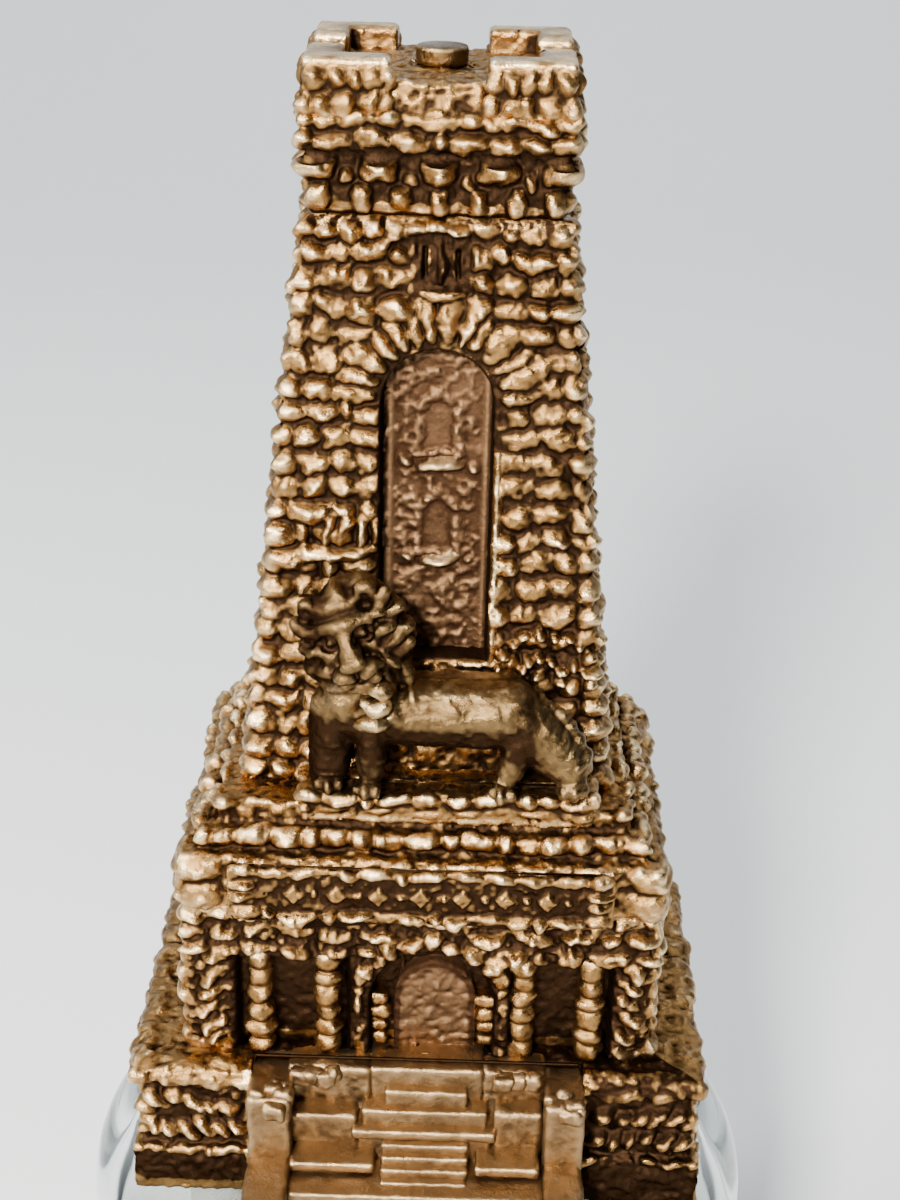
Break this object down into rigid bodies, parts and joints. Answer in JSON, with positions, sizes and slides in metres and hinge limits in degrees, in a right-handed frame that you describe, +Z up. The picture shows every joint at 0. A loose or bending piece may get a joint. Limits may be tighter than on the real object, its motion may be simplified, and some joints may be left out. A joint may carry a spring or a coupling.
{
  "type": "souvenir bottle opener",
  "caption": "Gilt cast tower with a lion and stairs as the handle of a steel crown-cap opener blade, standing in a slotted clear round stand.",
  "frame": {"origin": "centre of the stand's underside, on the surface it stands on", "axes": "+Z up, the stairs and lion face -Y, +X is to the right of someone who faces them"},
  "size_m": [0.05, 0.05, 0.1203],
  "materials": {
    "clear_stand": "clear, polished",
    "gilt": "cast, gilt, with dark patina in the recesses",
    "dark_gilt": "cast, rough, dull",
    "steel": "nickel plated, fine brushed"
  },
  "bodies": {
    "stand": {"display_stand": "clear_stand"},
    "opener": {"base_plate": "dark_gilt", "opener_blade": "steel", "blade_pins": "steel", "plinth": "gilt", "stair_block": "gilt", "lower_storey": "gilt", "ledge_slab": "gilt", "ornament_plaque": "gilt", "lion": "gilt", "tower_front": "gilt", "tower_rear": "gilt", "window_panel": "dark_gilt", "parapet": "gilt", "tie_bolt": "gilt", "tie_washer": "steel", "tie_nut": "steel"}
  },
  "joints": [
    {"name": "lift_off", "type": "slide", "parent": "stand", "child": "opener", "axis": [0, 0, 1], "range_m": [0, 0.042]}
  ]
}
